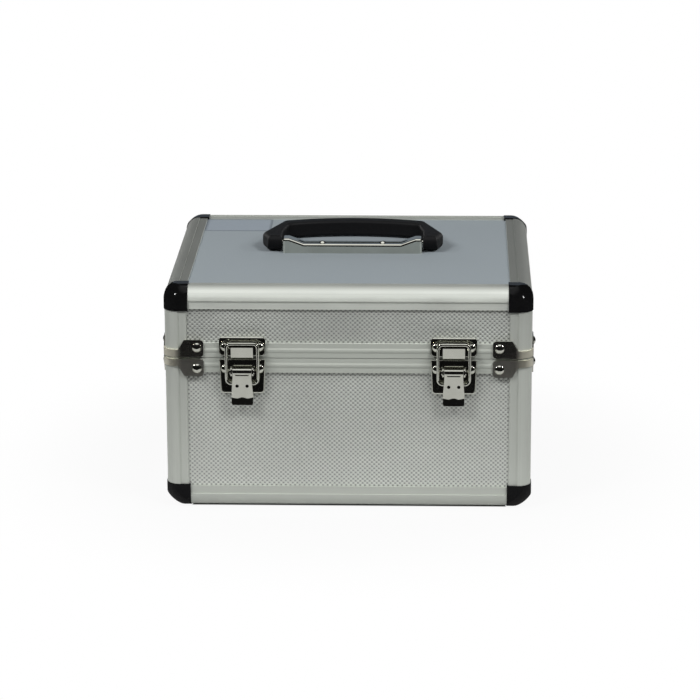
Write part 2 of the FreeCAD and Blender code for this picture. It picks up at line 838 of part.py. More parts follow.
def hinge_leaf(centre, upward):
    """Leaf of a back hinge; the lower leaf has the two outer knuckles and the upper leaf the middle one."""
    half = hinge_width / 2
    plane = Plane((centre, back, parting), (1, 0, 0), (0, 0, upward))
    radius = hinge_corner_radius
    outline = [
        (-half, 0, 0),
        (half, 0, 0),
        (half, hinge_leaf_height, radius),
        (-half, hinge_leaf_height, radius),
    ]
    plate = prism(plane, outline, (0, hinge_sheet, 0))
    middle_half = hinge_centre_knuckle / 2
    middle = (-middle_half, middle_half)
    outer = [(-half, -middle_half - hinge_knuckle_gap), (middle_half + hinge_knuckle_gap, half)]
    own = [middle] if upward > 0 else outer
    other = outer if upward > 0 else [middle]
    barrels = [hinge_barrel(hinge_knuckle_radius, centre + low, centre + high) for low, high in own]
    clear = hinge_knuckle_radius + hinge_knuckle_gap
    behind = back - hinge_sheet
    past = back + 2 * hinge_sheet
    above = parting + parting_gap
    below = parting - parting_gap
    cuts = [block((centre - half, behind, below), (centre + half, past, above))]
    for low, high in other:
        start = centre + low - hinge_knuckle_gap
        end = centre + high + hinge_knuckle_gap
        cuts.append(hinge_barrel(clear, start, end))
        cuts.append(block((start, behind, parting - clear), (end, past, parting + clear)))
    leaf = plate.cut(cuts).fuse(barrels).removeSplitter()
    bore = hinge_barrel(hinge_pin_radius + pivot_clearance, centre - hinge_width, centre + hinge_width)
    return leaf.cut(bore)


def hinge_pin(centre):
    """Hinge pin, peened at both ends."""
    half = hinge_width / 2
    end = half + hinge_pin_head_height
    outline = [
        (0, -end, 0),
        (hinge_pin_head_radius, -end, 0),
        (hinge_pin_head_radius, -half, 0),
        (hinge_pin_radius, -half, 0),
        (hinge_pin_radius, half, 0),
        (hinge_pin_head_radius, half, 0),
        (hinge_pin_head_radius, end, 0),
        (0, end, 0),
    ]
    return turned(outline, (centre, hinge_axis_y, parting), (1, 0, 0))


def hinge_rivet_places(centre, upward):
    """Head positions of one hinge leaf's rivets."""
    y = back + hinge_sheet
    z = parting + upward * hinge_rivet_from_parting
    return [((centre + side * hinge_rivet_spacing / 2, y, z), (0, 1, 0)) for side in (-1, 1)]


# Carry handle


def bracket_outline():
    """Front view of the bracket: raised ends, a lower middle and a slope between them."""
    end = bracket_length / 2
    shelf = end - bracket_end_top
    slope_end = shelf - bracket_slope_run
    bend = bracket_bend_radius
    one_side = [
        (end, 0, 0),
        (end, bracket_end_height, bend),
        (shelf, bracket_end_height, bend),
        (slope_end, bracket_middle_height, bend),
    ]
    return one_side + [(-u, v, radius) for u, v, radius in reversed(one_side)]


def handle_bracket():
    """Pressed channel that stands open side down on the lid and carries the handle's pins in its ends."""
    front_face = handle_axis_y - bracket_width / 2
    outside = Plane((0, front_face, lid_surface), (1, 0, 0), (0, 0, 1))
    inside = Plane((0, front_face + bracket_sheet, lid_surface), (1, 0, 0), (0, 0, 1))
    outline = bracket_outline()
    shell = prism(outside, outline, (0, bracket_width, 0))
    long_edges = [
        edge for edge in shell.Edges
        if edge.BoundBox.YLength < same_place and edge.BoundBox.ZMax > lid_surface + same_place
    ]
    shell = shell.makeFillet(bracket_edge_radius, long_edges)
    hollow = prism(inside, offset_path(outline, bracket_sheet), (0, bracket_width - 2 * bracket_sheet, 0))
    bore = rod(
        handle_pin_radius + seat_gap,
        (-bracket_length, handle_axis_y, handle_axis_z),
        (bracket_length, handle_axis_y, handle_axis_z),
    )
    return shell.cut([hollow, bore])


def handle_pin(side):
    """Pivot pin headed inside the bracket's end wall and running in the grip's cheek."""
    wall = bracket_length / 2 - bracket_sheet
    outline = [
        (0, 0, 0),
        (handle_pin_head_radius, 0, 0),
        (handle_pin_head_radius, handle_pin_head_height, 0),
        (handle_pin_radius, handle_pin_head_height, 0),
        (handle_pin_radius, handle_pin_head_height + bracket_sheet + handle_pin_reach, 0),
        (0, handle_pin_head_height + bracket_sheet + handle_pin_reach, 0),
    ]
    start = (side * (wall - handle_pin_head_height), handle_axis_y, handle_axis_z)
    return turned(outline, start, (side, 0, 0))


def handle_grip():
    """Moulded U-shaped grip: two pivot cheeks that swell outwards and a bowed bar between them."""
    half_thick = grip_thickness / 2
    plane = Plane((0, handle_axis_y, handle_axis_z - half_thick), (1, 0, 0), (0, 1, 0))
    cheek_in = bracket_length / 2 + grip_side_gap
    cheek_out = cheek_in + grip_cheek_width
    bar_inner = grip_reach - grip_bar_width
    half_outline = [
        (cheek_in - grip_inner_inset, grip_inner_reach),
        (cheek_in, grip_cheek_reach),
        (cheek_in, -grip_front_reach),
        (cheek_out, -grip_front_reach),
        (cheek_out + grip_swell, grip_widest_reach),
        (cheek_out - grip_shoulder_inset, grip_shoulder_reach),
    ]
    right_side = [plane.at(u, v) for u, v in half_outline]
    left_side = [plane.at(-u, v) for u, v in half_outline]
    edges = [
        Part.Arc(right_side[-1], plane.at(0, grip_reach), left_side[-1]).toShape(),
        Part.Arc(right_side[0], plane.at(0, bar_inner), left_side[0]).toShape(),
    ]
    for points in (right_side, left_side):
        edges += [Part.LineSegment(start, end).toShape() for start, end in zip(points, points[1:])]
    outline = Part.Wire(Part.__sortEdges__(edges))
    grip = Part.Face(outline).extrude(Vector(0, 0, grip_thickness))
    upright = [
        edge for edge in grip.Edges
        if edge.BoundBox.XLength + edge.BoundBox.YLength < same_place and edge.CenterOfMass.y > handle_axis_y
    ]
    grip = grip.makeFillet(grip_bend_radius, upright)
    level_edges = [
        edge for edge in grip.Edges
        if edge.BoundBox.ZLength < same_place
        and edge.BoundBox.YMax > handle_axis_y - grip_front_reach + same_place
    ]
    inner_middles = []
    outer_edges = []
    for edge in level_edges:
        middle = edge.CenterOfMass
        if abs(middle.x) < cheek_in + same_place and middle.y < handle_axis_y + bar_inner:
            inner_middles.append(middle)
        else:
            outer_edges.append(edge)
    grip = grip.makeFillet(grip_outer_edge_radius, outer_edges)
    inner_edges = [
        edge for edge in grip.Edges
        if any(edge.CenterOfMass.distanceToPoint(middle) < same_place for middle in inner_middles)
    ]
    grip = grip.makeFillet(grip_inner_edge_radius, inner_edges)
    side_view = Plane((-case_width / 2, handle_axis_y, handle_axis_z), (0, 1, 0), (0, 0, 1))
    envelope_outline = [
        (-grip_front_reach, -half_thick, grip_under_radius),
        (2 * grip_reach, -half_thick, 0),
        (2 * grip_reach, half_thick, 0),
        (-grip_front_reach, half_thick, grip_over_radius),
    ]
    grip = grip.common(prism(side_view, envelope_outline, (case_width, 0, 0)))
    bore_end = bracket_length / 2 + handle_pin_reach + handle_pin_end_gap
    bore = rod(
        handle_pin_radius + pivot_clearance,
        (-bore_end, handle_axis_y, handle_axis_z),
        (bore_end, handle_axis_y, handle_axis_z),
    )
    return grip.cut(bore)


# Lining


def liner(floor_low, rim_level, upward):
    """Open tray of lining board inside the frame; floor_low is its floor's outer face."""
    inset = frame_inner + liner_gap
    low_z = min(floor_low, rim_level)
    high_z = max(floor_low, rim_level)
    tray = block((left + inset, front + inset, low_z), (right - inset, back - inset, high_z))
    wall = inset + liner_thickness
    floor_top = floor_low + upward * liner_thickness
    past_rim = rim_level + upward * liner_thickness
    room = block(
        (left + wall, front + wall, min(floor_top, past_rim)),
        (right - wall, back - wall, max(floor_top, past_rim)),
    )
    return tray.cut(room)


# Frame, panels and caps
add_edges("bottom", bottom, 1)
add_edges("top", top, -1)
keep("base_corner_posts", corner_posts(bottom + cap_side, base_rim))
keep("lid_corner_posts", corner_posts(lid_rim, top - cap_side))
add_rims("base", base_rim, -1, True)
add_rims("lid", lid_rim, 1, False)
add_walls("base", bottom + panel_edge, base_rim - rim_panel_edge)
add_walls("lid", lid_rim + rim_panel_edge, top - panel_edge)
keep("bottom_panel", flat_panel(bottom + panel_outer, bottom + panel_inner))
keep("top_panel", flat_panel(top - panel_inner, top - panel_outer))
bottom_caps = four_corners(corner_cap())
middle_height = Vector(0, 0, (bottom + top) / 2)
keep("bottom_corner_caps", bottom_caps)
keep("top_corner_caps", [cap.mirror(middle_height, Vector(0, 0, 1)) for cap in bottom_caps])
keep("base_liner", liner(bottom + frame_inner + seat_gap, base_rim - liner_rim_drop, 1))
keep("lid_liner", liner(top - frame_inner - seat_gap, lid_rim + liner_rim_drop, -1))

# Corner clips and their rivets
lid_clips = four_corners(corner_clip())
clip_grip = seat_gap + clip_sheet + rivet_grip_depth
lid_clip_rivets = []
lid_clip_holes = []
for place, outward in clip_rivet_places():
    head = rivet(place, outward, clip_rivet_head_radius, clip_rivet_head_height, clip_grip)
    lid_clip_rivets += four_corners(head)
    lid_clip_holes += four_corners(rivet_hole(place, outward, clip_grip))
keep("lid_corner_clips", lid_clips)
keep("base_corner_clips", [mirrored(clip, "z") for clip in lid_clips])
keep("lid_clip_rivets", lid_clip_rivets)
keep("base_clip_rivets", [mirrored(each, "z") for each in lid_clip_rivets])
base_holes = [mirrored(hole, "z") for hole in lid_clip_holes]
lid_holes = list(lid_clip_holes)

# Latches
plate_rivets = []
catch_rivets = []
for side_name, side in (("left", -1), ("right", 1)):
    latch_centre = side * (case_width / 2 - latch_inset)
    keep(f"{side_name}_catch_plate", catch_plate(latch_centre))
    keep(f"{side_name}_latch_plate", latch_plate(latch_centre))
    keep(f"{side_name}_lever", lever(latch_centre))
    keep(f"{side_name}_lever_pin", lever_pin(latch_centre))
    keep(f"{side_name}_bail", bail(latch_centre))
    for rivets, holes, height, standoff in (
        (plate_rivets, base_holes, -latch_plate_rivet_drop, latch_sheet),
        (catch_rivets, lid_holes, catch_rivet_height, catch_face),
    ):
        grip = standoff + rivet_grip_depth
        for place, outward in latch_rivet_places(latch_centre, height, standoff):
            rivets.append(rivet(place, outward, latch_rivet_head_radius, latch_rivet_head_height, grip))
            holes.append(rivet_hole(place, outward, grip))
keep("latch_plate_rivets", plate_rivets)
keep("catch_plate_rivets", catch_rivets)

# Hinges
hinge_grip = hinge_sheet + rivet_grip_depth
hinge_centres = (left + hinge_inset, right - hinge_inset)
keep("hinge_lower_leaves", [hinge_leaf(centre, -1) for centre in hinge_centres])
keep("hinge_upper_leaves", [hinge_leaf(centre, 1) for centre in hinge_centres])
keep("hinge_pins", [hinge_pin(centre) for centre in hinge_centres])
for name, holes, upward in (("hinge_lower_rivets", base_holes, -1), ("hinge_upper_rivets", lid_holes, 1)):
    heads = []
    for centre in hinge_centres:
        for place, outward in hinge_rivet_places(centre, upward):
            heads.append(rivet(place, outward, clip_rivet_head_radius, clip_rivet_head_height, hinge_grip))
            holes.append(rivet_hole(place, outward, hinge_grip))
    keep(name, heads)

# Carry handle
bracket_top = lid_surface + bracket_middle_height
handle_grip_depth = bracket_middle_height + panel_thickness
bracket_rivets = []
for side in (-1, 1):
    place = (side * bracket_rivet_spacing / 2, handle_axis_y, bracket_top)
    bracket_rivets.append(
        rivet(place, (0, 0, 1), handle_rivet_head_radius, handle_rivet_head_height, handle_grip_depth)
    )
    lid_holes.append(rivet_hole(place, (0, 0, 1), handle_grip_depth))
keep("handle_bracket", handle_bracket())
keep("handle_bracket_rivets", bracket_rivets)
keep("handle_pivot_pins", [handle_pin(side) for side in (-1, 1)])
keep("handle_grip", handle_grip())

# Rivet holes through everything that the rivets clamp
for side_name in ("front", "back", "left", "right"):
    drill(f"base_{side_name}_panel", base_holes)
    drill(f"base_{side_name}_rim", base_holes)
    drill(f"lid_{side_name}_panel", lid_holes)
    drill(f"lid_{side_name}_rim", lid_holes)
for name in ("base_corner_clips", "left_latch_plate", "right_latch_plate", "hinge_lower_leaves"):
    drill(name, base_holes)
for name in ("lid_corner_clips", "left_catch_plate", "right_catch_plate", "hinge_upper_leaves"):
    drill(name, lid_holes)
for name in ("handle_bracket", "top_panel"):
    drill(name, lid_holes)

os.makedirs("parts", exist_ok=True)
for name, solids in pieces.items():
    shape = solids[0] if len(solids) == 1 else Part.makeCompound(solids)
    shape.exportStep(f"parts/{name}.step")
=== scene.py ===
"""Looks of the small aluminium-framed carry case: finishes, embossed walls, studio light and camera."""
import math

import bpy
import numpy as np
from mathutils import Matrix, Vector


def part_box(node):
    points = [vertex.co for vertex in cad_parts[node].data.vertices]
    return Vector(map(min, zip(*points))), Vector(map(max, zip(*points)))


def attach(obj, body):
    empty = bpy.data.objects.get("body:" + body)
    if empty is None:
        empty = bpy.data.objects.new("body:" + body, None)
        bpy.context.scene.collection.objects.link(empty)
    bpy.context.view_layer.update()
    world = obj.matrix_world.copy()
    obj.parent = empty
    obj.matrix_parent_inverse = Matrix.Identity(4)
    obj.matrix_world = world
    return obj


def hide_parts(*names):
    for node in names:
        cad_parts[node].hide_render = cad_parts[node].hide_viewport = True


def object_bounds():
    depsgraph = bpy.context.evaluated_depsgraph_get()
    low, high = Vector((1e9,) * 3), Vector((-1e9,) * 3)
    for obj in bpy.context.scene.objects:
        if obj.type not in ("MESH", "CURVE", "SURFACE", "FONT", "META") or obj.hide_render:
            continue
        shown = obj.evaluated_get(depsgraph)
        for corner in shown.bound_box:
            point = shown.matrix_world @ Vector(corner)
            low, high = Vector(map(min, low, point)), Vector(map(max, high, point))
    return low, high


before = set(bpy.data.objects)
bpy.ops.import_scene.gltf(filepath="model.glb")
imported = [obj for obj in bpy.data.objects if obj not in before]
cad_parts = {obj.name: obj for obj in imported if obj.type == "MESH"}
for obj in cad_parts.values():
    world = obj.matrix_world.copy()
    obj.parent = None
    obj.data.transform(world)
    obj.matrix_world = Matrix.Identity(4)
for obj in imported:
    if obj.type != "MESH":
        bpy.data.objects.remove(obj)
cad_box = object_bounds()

mm = 0.001

# Camera
image_pixels = 700
sensor_width = 36.0
focal_pixels = 3111.88
camera_place = Vector((0.066128, -2.135105, 0.695206))
camera_yaw = -0.03193
camera_pitch = 0.27937
camera_roll = -0.00365

# Wall panels
emboss_pitch_along = 3.2 * mm
emboss_pitch_up = 3.05 * mm
emboss_depth = 0.6 * mm
emboss_steps = 4
crease_angle = math.radians(40)

# Bare label on the lid
label_length = 48.5 * mm
label_width = 35.6 * mm
label_thickness = 0.1 * mm
label_border = 2.4 * mm
label_corner = 0.8 * mm
label_gap = 0.2 * mm
label_points = 24

# Extruded bars
bar_tones = ((0.625, 0.645, 0.602), (0.665, 0.69, 0.647))
bar_roughness = 0.69
bar_roughness_change = 0.03
bar_smudges = 25.0
die_lines_along = 3.0
die_lines_across = 2200.0
die_line_depth = 0.01 * mm
# Span of the upward normal over which the bars' painted top shade comes in
upward_span = (0.1, 0.5)

# Corner clips
clip_band_reach = 13.0 * mm
clip_band_fade = 5.0 * mm
# Painted highlight: paler colour of the clips' bands where they round the corners
clip_band_painted_highlight = (0.86, 0.83, 0.69)
clip_tones = ((0.52, 0.51, 0.46), (0.6, 0.585, 0.53))
clip_smudges = 80.0
clip_specks = 900.0
clip_speck_height = 0.002 * mm

# Part of the noise over which marks of handling go from faint to full
mark_span = (0.3, 0.7)

# Floor and surroundings
floor_size = 6.0
floor_tone = 0.42
floor_roughness = 0.9
floor_shadow_share = 0.08
floor_mirror_share = 0.18
shadow_near = 0.12
shadow_far = 0.3
contact_inset = 5.4 * mm
contact_edge = 0.99
ambient = 0.06
tent_opening = (0.55, 0.295)
tent_radius = 2.8
tent_lift = 0.002
tent_rings = 24
tent_steps = 64
tent_glows = ((0.0, 0.006), (0.02, 0.008), (0.8, 0.012), (0.92, 1.2))
card_distance = 1.5
card_half_width = 0.5
card_heights = (0.3, 0.8)
card_tone = (0.2, 0.23, 0.27)

# Lamps
key_places = (Vector((-0.95, -0.95, 1.4)), Vector((0.95, -0.95, 1.4)))
key_size = (0.5, 0.5)
key_watts = 21.5
fill_places = (Vector((-1.2, 1.5, 0.55)), Vector((1.2, 1.5, 0.55)))
fill_size = (0.9, 0.9)
fill_watts = 6.8
left_place = Vector((-1.33, -0.36, 1.17))
right_place = Vector((1.43, -0.34, 1.04))
spot_size = (0.15, 0.15)
spot_watts = 5.0


# Node helpers


def fill_inputs(tree, node, values):
    """Gives the inputs of a node their links or plain values."""
    for socket, value in values.items():
        if isinstance(value, bpy.types.NodeSocket):
            tree.links.new(value, node.inputs[socket])
        else:
            node.inputs[socket].default_value = value


def add_node(tree, kind, values, operation=None):
    """A node with its operation and with links or plain values on its inputs."""
    node = tree.nodes.new(kind)
    if operation:
        node.operation = operation
    fill_inputs(tree, node, values)
    return node


def maths(tree, operation, *inputs):
    """The number that an operation makes from sockets or plain numbers."""
    return add_node(tree, "ShaderNodeMath", dict(enumerate(inputs)), operation).outputs["Value"]


def vector_maths(tree, operation, *inputs):
    """The vector that an operation makes from sockets or plain vectors."""
    return add_node(tree, "ShaderNodeVectorMath", dict(enumerate(inputs)), operation).outputs["Vector"]


def split(tree, vector):
    """The X, Y and Z of a vector, by name."""
    return add_node(tree, "ShaderNodeSeparateXYZ", {"Vector": vector}).outputs


def surface(tree, what):
    """The place (Object) or the direction (Normal) of a surface in its piece's own frame."""
    return tree.nodes.new("ShaderNodeTexCoord").outputs[what]


def attribute(tree, name):
    """A number that a piece carries on its own mesh."""
    node = tree.nodes.new("ShaderNodeAttribute")
    node.attribute_name = name
    return node.outputs["Fac"]


def noise(tree, place, scale, detail, roughness=0.5):
    """Cloudy noise from 0 to 1, with about scale clouds for each unit of place."""
    values = {"Vector": place, "Scale": scale, "Detail": detail, "Roughness": roughness}
    return add_node(tree, "ShaderNodeTexNoise", values).outputs["Fac"]


def between(tree, value, span, result=(0.0, 1.0), curve="LINEAR"):
    """Goes over a result as value goes over a span, and stays at its ends beyond."""
    values = {
        "Value": value,
        "From Min": span[0],
        "From Max": span[1],
        "To Min": result[0],
        "To Max": result[1],
    }
    node = add_node(tree, "ShaderNodeMapRange", values)
    node.interpolation_type = curve
    return node.outputs["Result"]


# Node groups


def new_group(name, inputs, outputs):
    """A node group with named inputs of the kinds given and named outputs that are numbers."""
    tree = bpy.data.node_groups.new(name, "ShaderNodeTree")
    for socket, kind in inputs.items():
        tree.interface.new_socket(name=socket, in_out="INPUT", socket_type=kind)
    for socket in outputs:
        tree.interface.new_socket(name=socket, in_out="OUTPUT", socket_type="NodeSocketFloat")
    return tree


def die_lines_group():
    """Fine lines that the extruding die leaves along a bar: noise pulled out along one axis."""
    tree = new_group("die_lines", {"Lines per metre": "NodeSocketVector"}, ["Tone"])
    given = tree.nodes.new("NodeGroupInput").outputs
    pulled = vector_maths(tree, "MULTIPLY", surface(tree, "Object"), given["Lines per metre"])
    tone = noise(tree, pulled, scale=1.0, detail=3.0, roughness=0.6)
    add_node(tree, "NodeGroupOutput", {"Tone": tone})
    return tree


def handling_group():
    """Soft smudges and small specks of handling: a broad noise and a fine one."""
    counts = {"Smudges per metre": "NodeSocketFloat", "Specks per metre": "NodeSocketFloat"}
    tree = new_group("handling", counts, ["Smudge", "Speck"])
    given = tree.nodes.new("NodeGroupInput").outputs
    place = surface(tree, "Object")
    smudge = noise(tree, place, given["Smudges per metre"], detail=4.0)
    speck = noise(tree, place, given["Specks per metre"], detail=2.0)
    add_node(tree, "NodeGroupOutput", {"Smudge": smudge, "Speck": speck})
    return tree


def upward_group():
    """1 on faces that lie within sixty degrees of upwards, falling to 0 on upright faces: where the bars
    get painted shade on top.
    """
    tree = new_group("upward", {}, ["Upward"])
    rise = split(tree, surface(tree, "Normal"))["Z"]
    add_node(tree, "NodeGroupOutput", {"Upward": between(tree, rise, upward_span)})
    return tree


def corner_band_group():
    """1 where the band of a clip rounds a corner of the case, 0 on its two plates."""
    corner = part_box("lid_corner_clips")[1]
    band_start = (corner[0] - clip_band_reach, corner[1] - clip_band_reach, 0.0)
    tree = new_group("corner_band", {}, ["Band"])
    reach = vector_maths(tree, "ABSOLUTE", surface(tree, "Object"))
    beyond = split(tree, vector_maths(tree, "SUBTRACT", reach, band_start))
    nearer = maths(tree, "MINIMUM", beyond["X"], beyond["Y"])
    add_node(tree, "NodeGroupOutput", {"Band": between(tree, nearer, (0.0, clip_band_fade))})
    return tree


die_lines = die_lines_group()
handling = handling_group()
upward = upward_group()
corner_band = corner_band_group()


# Material helpers


def new_material(name, sockets):
    """A material with a Principled shader and plain values on the sockets that are named."""
    material = bpy.data.materials.new(name)
    material.use_nodes = True
    tree = material.node_tree
    shader = tree.nodes["Principled BSDF"]
    fill_inputs(tree, shader, sockets)
    return material, tree, shader


def place_group(tree, group, values):
    """The outputs of a node group that is placed in a material with its own values."""
    node = tree.nodes.new("ShaderNodeGroup")
    node.node_tree = group
    fill_inputs(tree, node, values)
    return node.outputs


def place_marks(tree, smudges, specks=0.0):
    """The marks of handling, with smudges and specks as counts per metre."""
    return place_group(tree, handling, {"Smudges per metre": smudges, "Specks per metre": specks})


def shade(tree, value, target, tones, span=mark_span):
    """Colours target from the first tone to the second as value goes over a span."""
    ramp = add_node(tree, "ShaderNodeValToRGB", {"Fac": value})
    for stop, position, tone in zip(ramp.color_ramp.elements, span, tones):
        stop.position = position
        stop.color = (*tone, 1.0)
    tree.links.new(ramp.outputs["Color"], target)


def raise_surface(tree, height, shader, distance):
    """Bumps the shader's normal by a height, distance metres deep."""
    bump = add_node(tree, "ShaderNodeBump", {"Height": height, "Distance": distance})
    tree.links.new(bump.outputs["Normal"], shader.inputs["Normal"])


def handled_finish(
    name, sockets, smudges, specks, bump, tones, tone_from, tone_span=mark_span, roughness=None
):
    """A finish with marks of handling in its roughness and its surface.

    The colour goes over two tones as a mark, or a number that the piece carries, goes over tone_span.
    tone_from names that mark or number. The roughness, where it has two ends, follows the smudges.
    The specks stand up by bump.
    """
    material, tree, shader = new_material(name, sockets)
    marks = place_marks(tree, smudges, specks)
    source = marks[tone_from] if tone_from in marks else attribute(tree, tone_from)
    shade(tree, source, shader.inputs["Base Color"], tones, tone_span)
    if roughness:
        tree.links.new(between(tree, marks["Smudge"], mark_span, roughness), shader.inputs["Roughness"])
    raise_surface(tree, marks["Speck"], shader, bump)
    return material


# Finishes


def anodised_bar(name, axis, painted_light_level=1.0, painted_top_shade=1.0, roughness=bar_roughness):
    """Satin anodised extrusion, die lines along an axis; painted_light_level paints light or shade,
    painted_top_shade shade on tops.
    """
    # painted_light_level scales both tones up as painted light or down as painted shade.
    tones = [tuple(painted_light_level * part for part in tone) for tone in bar_tones]
    roughness_ends = (roughness - bar_roughness_change, roughness + bar_roughness_change)
    lines_per_metre = [die_lines_across] * 3
    lines_per_metre[axis] = die_lines_along
    material, tree, shader = new_material(name, {"Metallic": 1.0})
    line = place_group(tree, die_lines, {"Lines per metre": lines_per_metre})["Tone"]
    smudge = place_marks(tree, bar_smudges)["Smudge"]
    # Painted shade: faces that lie upwards are multiplied darker by painted_top_shade.
    top_shade_mask = place_group(tree, upward, {})["Upward"]
    top = (painted_top_shade, painted_top_shade, painted_top_shade, 1.0)
    tone = add_node(tree, "ShaderNodeMixRGB", {"Fac": top_shade_mask, "Color2": top})
    tone.blend_type = "MULTIPLY"
    shade(tree, line, tone.inputs["Color1"], tones)
    patchy = between(tree, smudge, mark_span, roughness_ends)
    fill_inputs(tree, shader, {"Base Color": tone.outputs["Color"], "Roughness": patchy})
    raise_surface(tree, line, shader, die_line_depth)
    return material


def embossed_sheet():
    """Embossed aluminium sheet of the walls, with painted shade darkening its valleys."""
    return handled_finish(
        "embossed_sheet",
        {"Metallic": 1.0},
        smudges=18.0,
        specks=1400.0,
        bump=0.01 * mm,
        # Painted shade: dark tone in the valleys, where relief is low, light tone on the tops.
        tones=((0.17, 0.176, 0.17), (0.79, 0.81, 0.77)),
        tone_from="relief",
        tone_span=(0.0, 0.55),
        roughness=(0.58, 0.66),
    )


def satin_foil():
    """Smooth blue-grey foil of the top panel."""
    return handled_finish(
        "satin_foil",
        {"Metallic": 0.1, "Specular IOR Level": 0.25},
        smudges=9.0,
        specks=1600.0,
        bump=0.006 * mm,
        tones=((0.227, 0.257, 0.274), (0.271, 0.303, 0.322)),
        tone_from="Speck",
        roughness=(0.5, 0.56),
    )


def pressed_board():
    """Dark fibre board of the bottom."""
    return handled_finish(
        "pressed_board",
        {"Roughness": 0.8},
        smudges=60.0,
        specks=1800.0,
        bump=0.08 * mm,
        tones=((0.03, 0.03, 0.032), (0.06, 0.06, 0.062)),
        tone_from="Speck",
    )


def gloss_plastic():
    """Polished black plastic of the lid's corner caps."""
    return handled_finish(
        "gloss_plastic",
        {"Specular IOR Level": 0.12},
        smudges=45.0,
        specks=700.0,
        bump=0.01 * mm,
        tones=((0.012, 0.012, 0.0125), (0.017, 0.017, 0.0175)),
        tone_from="Smudge",
        roughness=(0.05, 0.09),
    )


def grained_plastic():
    """Fine-grained black plastic of the carry handle and the base's corner caps."""
    return handled_finish(
        "grained_plastic",
        {"Specular IOR Level": 0.08},
        smudges=40.0,
        specks=1500.0,
        bump=0.04 * mm,
        tones=((0.004, 0.004, 0.0045), (0.007, 0.007, 0.0075)),
        tone_from="Speck",
        roughness=(0.5, 0.6),
    )


def black_felt():
    """Short-piled lining."""
    return handled_finish(
        "black_felt",
        {"Roughness": 0.95, "Sheen Weight": 0.3},
        smudges=35.0,
        specks=2200.0,
        bump=0.15 * mm,
        tones=((0.015, 0.015, 0.017), (0.05, 0.05, 0.054)),
        tone_from="Speck",
    )


def label_paper():
    """Plain blue-grey label with a darker border."""
    return handled_finish(
        "label_paper",
        {"Specular IOR Level": 0.25},
        smudges=70.0,
        specks=2500.0,
        bump=0.01 * mm,
        tones=((0.228, 0.26, 0.293), (0.15, 0.17, 0.19)),
        tone_from="border",
        tone_span=(0.0, 0.6),
        roughness=(0.45, 0.55),
    )


def bright_plate():
    """Bright nickel and chrome plate of the latches, hinges, bracket and rivets."""
    return handled_finish(
        "bright_plate",
        {"Metallic": 1.0},
        smudges=80.0,
        specks=500.0,
        bump=0.002 * mm,
        tones=((0.57, 0.575, 0.515), (0.65, 0.655, 0.59)),
        tone_from="Smudge",
        roughness=(0.06, 0.11),
    )


def satin_plate(name, plate_roughness, band_roughness):
    """Duller, slightly yellow nickel of the corner clips, with a painted highlight paling their bands
    round the corners.
    """
    material, tree, shader = new_material(name, {"Metallic": 1.0})
    marks = place_marks(tree, clip_smudges, clip_specks)
    band = place_group(tree, corner_band, {})["Band"]
    # Painted highlight: the bands that round the corners get a paler colour in place of their bright
    # reflections.
    tone = add_node(tree, "ShaderNodeMixRGB", {"Fac": band, "Color2": (*clip_band_painted_highlight, 1.0)})
    shade(tree, marks["Smudge"], tone.inputs["Color1"], clip_tones)
    rubbed = between(tree, band, (0.0, 1.0), (plate_roughness, band_roughness))
    fill_inputs(tree, shader, {"Base Color": tone.outputs["Color"], "Roughness": rubbed})
    raise_surface(tree, marks["Speck"], shader, clip_speck_height)
    return material


along_x, along_y, along_z = range(3)
# Lit and shaded copies of one anodised finish: a painted_light_level above 1 is painted light (front bar),
# below 1 painted shade (back, low and rim bars); painted_top_shade is painted shade on upward faces.
bar_front = anodised_bar("anodised_bar_front", along_x, painted_light_level=1.42, painted_top_shade=0.5, roughness=0.62)
bar_back = anodised_bar("anodised_bar_back", along_x, painted_light_level=0.8, painted_top_shade=0.78)
bar_low = anodised_bar("anodised_bar_low", along_x, painted_light_level=0.95)
rim_across = anodised_bar("anodised_rim_across", along_x, painted_light_level=0.92, roughness=0.86)
bar_deep = anodised_bar("anodised_bar_deep", along_y, painted_top_shade=0.335)
bar_upright = anodised_bar("anodised_bar_upright", along_z)
sheet = embossed_sheet()
foil = satin_foil()
board = pressed_board()
cap_black = gloss_plastic()
grip_black = grained_plastic()
felt = black_felt()
paper = label_paper()
plate = bright_plate()
base_clip_plate = satin_plate("satin_plate_base", plate_roughness=0.3, band_roughness=0.36)
lid_clip_plate = satin_plate("satin_plate_lid", plate_roughness=0.2, band_roughness=0.46)


mirror_finishes = (plate, cap_black)
mirror_pieces = bpy.data.collections.new("mirror_pieces")


def paint(material, *nodes):
    """Gives CAD nodes a finish and notes which of them mirror like glass."""
    for node in nodes:
        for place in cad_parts[node].material_slots:
            place.material = material
        if material in mirror_finishes:
            mirror_pieces.objects.link(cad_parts[node])


# Pieces


def add_mesh(name, points, faces, material):
    """An object at the origin, from a grid of points and lists of their numbers."""
    mesh = bpy.data.meshes.new(name)
    mesh.from_pydata(points.reshape(-1, 3).tolist(), [], faces)
    mesh.materials.append(material)
    thing = bpy.data.objects.new(name, mesh)
    bpy.context.scene.collection.objects.link(thing)
    return thing


def new_piece(name, body, material, points, faces, stands_for=()):
    """A shown piece of the object, riding on a body and standing for CAD nodes."""
    piece = add_mesh(name, points, faces, material)
    piece.data.shade_smooth()
    piece.data.set_sharp_from_angle(angle=crease_angle)
    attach(piece, body)
    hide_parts(*stands_for)
    return piece


def carry_number(piece, name, values):
    """Writes a number for each point of a piece."""
    numbers = piece.data.attributes.new(name, "FLOAT", "POINT")
    numbers.data.foreach_set("value", values.astype(np.float32).ravel())


def grid_corners(rows, points):
    """Numbers of the four corners of each cell between closed rows of points."""
    index = np.arange(rows * points).reshape(rows, points)
    ahead = np.roll(index, -1, axis=1)
    return index[:-1], index[1:], ahead[1:], ahead[:-1]


def end_faces(rows, points):
    """A polygon over the first row of points and one over the last."""
    index = np.arange(rows * points).reshape(rows, points)
    return [index[0].tolist(), index[-1][::-1].tolist()]


def ring_faces(rows, points):
    """Quads between closed rows of points."""
    return np.stack(grid_corners(rows, points), axis=-1).reshape(-1, 4).tolist()


